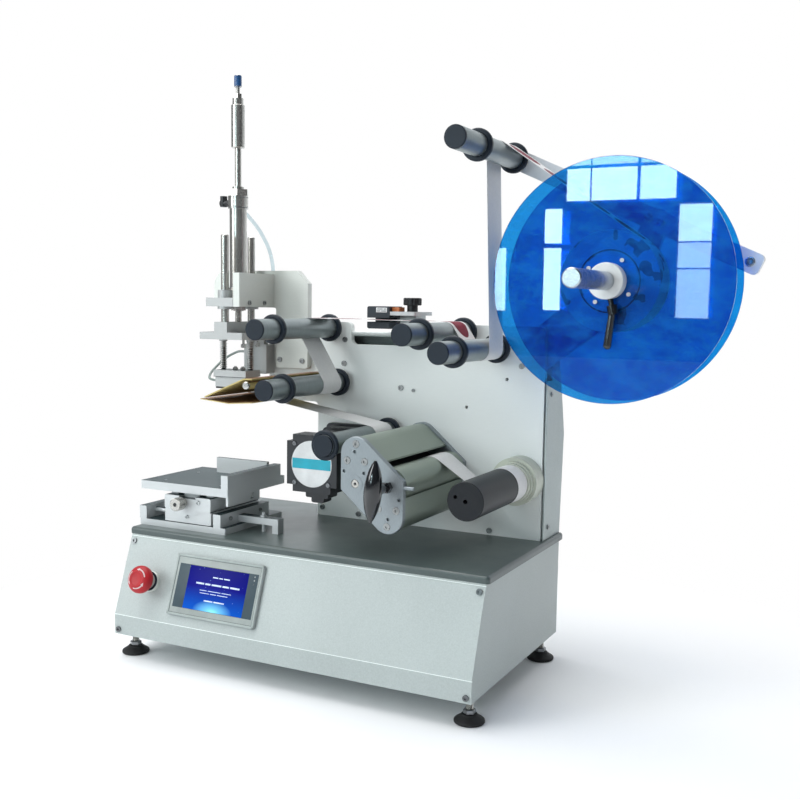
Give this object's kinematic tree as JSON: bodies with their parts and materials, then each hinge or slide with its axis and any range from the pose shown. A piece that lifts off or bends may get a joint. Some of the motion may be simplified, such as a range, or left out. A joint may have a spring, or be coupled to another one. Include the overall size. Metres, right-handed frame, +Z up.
{
  "type": "desktop flat surface labeling machine",
  "caption": "Bench-top machine that peels labels from a web and presses them onto flat products on an adjustable table.",
  "frame": {"origin": "centre of the bounding box's foot, on the floor", "axes": "+X to the right of the operator, +Y to the rear, +Z up"},
  "size_m": [0.8604, 0.367, 0.8725],
  "materials": {
    "cabinet_body": "satin powder coat",
    "front_panel": "satin powder coat",
    "top_plate": "satin anodised",
    "leveling_feet": "matte",
    "socket_screws": "satin",
    "hmi_housing": "satin",
    "hmi_screen": "gloss",
    "estop_collar": "satin",
    "control_unit": "matte",
    "power_inlet": "matte",
    "main_plate": "satin anodised",
    "rear_cover": "satin powder coat",
    "stepper_motor": "satin black",
    "roller_spindles": "bright",
    "reel_arm": "satin anodised",
    "cross_arm": "satin anodised",
    "drive_front_plate": "brushed",
    "drive_rear_plate": "brushed",
    "drive_guards": "satin anodised",
    "peel_plate": "film covered sheet",
    "press_bracket": "satin anodised",
    "bushing_block": "satin anodised",
    "air_cylinder": "bright",
    "air_fittings": "satin",
    "air_hose_upper": "translucent tube",
    "label_web": "semi-gloss paper",
    "table_base": "machined",
    "rewind_hub": "satin nylon",
    "drive_belt": "matte",
    "estop_stem": "satin",
    "estop_mushroom": "satin",
    "guide_roller_1": "satin anodised",
    "guide_roller_2": "satin anodised",
    "guide_roller_3": "satin anodised",
    "guide_roller_4": "satin anodised",
    "guide_roller_5": "satin anodised",
    "guide_roller_6": "satin anodised",
    "reel_shaft": "turned",
    "reel_hub": "satin",
    "rear_disc": "clear blue acrylic",
    "label_roll": "semi-gloss paper",
    "front_disc": "clear blue acrylic",
    "clamp_collar": "satin nylon",
    "clamp_lever": "matte",
    "drive_roller": "matte",
    "nip_roller": "satin",
    "motor_pulley": "satin",
    "nip_knob": "gloss",
    "rewind_core": "satin black",
    "press_rods": "ground",
    "press_carriage": "machined",
    "air_hose_lower": "translucent tube",
    "press_springs": "bright",
    "press_tool": "machined",
    "press_pad": "matte",
    "table_cross_slide": "machined",
    "table_top": "machined",
    "table_knob": "knurled",
    "sensor_carriage": "satin",
    "thumb_knob": "satin"
  },
  "bodies": {
    "frame": {"cabinet_body": "cabinet_body", "front_panel": "front_panel", "top_plate": "top_plate", "leveling_feet": "leveling_feet", "socket_screws": "socket_screws", "hmi_housing": "hmi_housing", "hmi_screen": "hmi_screen", "estop_collar": "estop_collar", "control_unit": "control_unit", "power_inlet": "power_inlet", "main_plate": "main_plate", "rear_cover": "rear_cover", "stepper_motor": "stepper_motor", "roller_spindles": "roller_spindles", "reel_arm": "reel_arm", "cross_arm": "cross_arm", "drive_front_plate": "drive_front_plate", "drive_rear_plate": "drive_rear_plate", "drive_guards": "drive_guards", "peel_plate": "peel_plate", "press_bracket": "press_bracket", "bushing_block": "bushing_block", "air_cylinder": "air_cylinder", "air_fittings": "air_fittings", "air_hose_upper": "air_hose_upper", "label_web": "label_web", "table_base": "table_base", "rewind_hub": "rewind_hub", "drive_belt": "drive_belt"},
    "stop_plunger": {"estop_stem": "estop_stem"},
    "stop_button": {"estop_mushroom": "estop_mushroom"},
    "roller_1": {"guide_roller_1": "guide_roller_1"},
    "roller_2": {"guide_roller_2": "guide_roller_2"},
    "roller_3": {"guide_roller_3": "guide_roller_3"},
    "roller_4": {"guide_roller_4": "guide_roller_4"},
    "roller_5": {"guide_roller_5": "guide_roller_5"},
    "roller_6": {"guide_roller_6": "guide_roller_6"},
    "reel": {"reel_shaft": "reel_shaft", "reel_hub": "reel_hub", "rear_disc": "rear_disc", "label_roll": "label_roll"},
    "reel_clamp": {"front_disc": "front_disc", "clamp_collar": "clamp_collar"},
    "clamp_handle": {"clamp_lever": "clamp_lever"},
    "drive": {"drive_roller": "drive_roller"},
    "nip": {"nip_roller": "nip_roller"},
    "motor_drive": {"motor_pulley": "motor_pulley"},
    "release_knob": {"nip_knob": "nip_knob"},
    "rewind": {"rewind_core": "rewind_core"},
    "press_head": {"press_rods": "press_rods", "press_carriage": "press_carriage", "air_hose_lower": "air_hose_lower", "press_springs": "press_springs"},
    "press_shoe": {"press_tool": "press_tool", "press_pad": "press_pad"},
    "cross_slide": {"table_cross_slide": "table_cross_slide"},
    "product_table": {"table_top": "table_top"},
    "table_screw": {"table_knob": "table_knob"},
    "sensor": {"sensor_carriage": "sensor_carriage"},
    "sensor_screw": {"thumb_knob": "thumb_knob"}
  },
  "joints": [
    {"name": "stop_press", "type": "slide", "parent": "frame", "child": "stop_plunger", "axis": [0, 0.9414, -0.3372], "range_m": [0, 0.004], "stiffness_N_per_m": 900},
    {"name": "stop_twist", "type": "hinge", "parent": "stop_plunger", "child": "stop_button", "pos_m": [-0.36923, -0.14563, 0.1163], "axis": [0, -0.9414, 0.3372], "range_deg": [0, 45], "stiffness_Nm_per_rad": 0.05},
    {"name": "roller_1_spin", "type": "hinge", "parent": "frame", "child": "roller_1", "pos_m": [-0.20703, -0.00224, 0.488], "axis": [0, -1, 0], "continuous": true},
    {"name": "roller_2_spin", "type": "hinge", "parent": "frame", "child": "roller_2", "pos_m": [-0.19203, -0.00224, 0.4039], "axis": [0, -1, 0], "continuous": true},
    {"name": "roller_3_spin", "type": "hinge", "parent": "frame", "child": "roller_3", "pos_m": [0.01987, -0.00224, 0.4869], "axis": [0, -1, 0], "continuous": true},
    {"name": "roller_4_spin", "type": "hinge", "parent": "frame", "child": "roller_4", "pos_m": [0.07177, -0.00224, 0.465], "axis": [0, -1, 0], "continuous": true},
    {"name": "roller_5_spin", "type": "hinge", "parent": "frame", "child": "roller_5", "pos_m": [-0.10183, -0.00224, 0.3328], "axis": [0, -1, 0], "continuous": true},
    {"name": "roller_6_spin", "type": "hinge", "parent": "frame", "child": "roller_6", "pos_m": [0.09227, -0.00224, 0.7312], "axis": [0, -1, 0], "continuous": true},
    {"name": "reel_spin", "type": "hinge", "parent": "frame", "child": "reel", "pos_m": [0.25177, 0.04776, 0.5594], "axis": [0, -1, 0], "continuous": true},
    {"name": "disc_slide", "type": "slide", "parent": "reel", "child": "reel_clamp", "axis": [0, -1, 0], "range_m": [0, 0.06]},
    {"name": "lever_turn", "type": "hinge", "parent": "reel_clamp", "child": "clamp_handle", "pos_m": [0.25725, 0.00576, 0.53655], "axis": [-0.2334, 0, 0.9724], "range_deg": [0, 180]},
    {"name": "drive_spin", "type": "hinge", "parent": "frame", "child": "drive", "pos_m": [-0.04883, -0.00224, 0.286], "axis": [0, -1, 0], "continuous": true},
    {"name": "nip_spin", "type": "hinge", "parent": "frame", "child": "nip", "pos_m": [0.00017, -0.00224, 0.286], "axis": [0, -1, 0], "continuous": true},
    {"name": "motor_spin", "type": "hinge", "parent": "frame", "child": "motor_drive", "pos_m": [-0.16023, 0.11776, 0.294], "axis": [0, -1, 0], "continuous": true},
    {"name": "release_turn", "type": "hinge", "parent": "frame", "child": "release_knob", "pos_m": [0.00017, -0.11124, 0.286], "axis": [0, -1, 0], "range_deg": [0, 270]},
    {"name": "rewind_spin", "type": "hinge", "parent": "frame", "child": "rewind", "pos_m": [0.10937, -0.00224, 0.2764], "axis": [0, -1, 0], "continuous": true},
    {"name": "press_stroke", "type": "slide", "parent": "frame", "child": "press_head", "axis": [0, 0, -1], "range_m": [0, 0.057]},
    {"name": "pad_float", "type": "slide", "parent": "press_head", "child": "press_shoe", "axis": [0, 0, 1], "range_m": [0, 0.008], "stiffness_N_per_m": 500, "springref_m": -0.01, "deforming": ["press_springs"]},
    {"name": "cross_travel", "type": "slide", "parent": "frame", "child": "cross_slide", "axis": [1, 0, 0], "range_m": [-0.032, 0.004]},
    {"name": "table_travel", "type": "slide", "parent": "cross_slide", "child": "product_table", "axis": [0, 1, 0], "range_m": [-0.012, 0.012]},
    {"name": "screw_turn", "type": "hinge", "parent": "cross_slide", "child": "table_screw", "pos_m": [-0.34323, -0.10224, 0.2295], "axis": [0, -1, 0], "range_deg": [-1100, 1100]},
    {"name": "sensor_travel", "type": "slide", "parent": "frame", "child": "sensor", "axis": [1, 0, 0], "range_m": [-0.05, 0.035]},
    {"name": "thumb_turn", "type": "hinge", "parent": "sensor", "child": "sensor_screw", "pos_m": [-0.06023, 0.07776, 0.5095], "axis": [0, 0, 1], "range_deg": [0, 360]}
  ],
  "couplings": [
    {"joint": "nip_spin", "follows": "drive_spin", "ratio": -1},
    {"joint": "motor_spin", "follows": "drive_spin", "ratio": 1.4286},
    {"joint": "screw_turn", "follows": "table_travel", "rad_per_m": 1570.8}
  ]
}
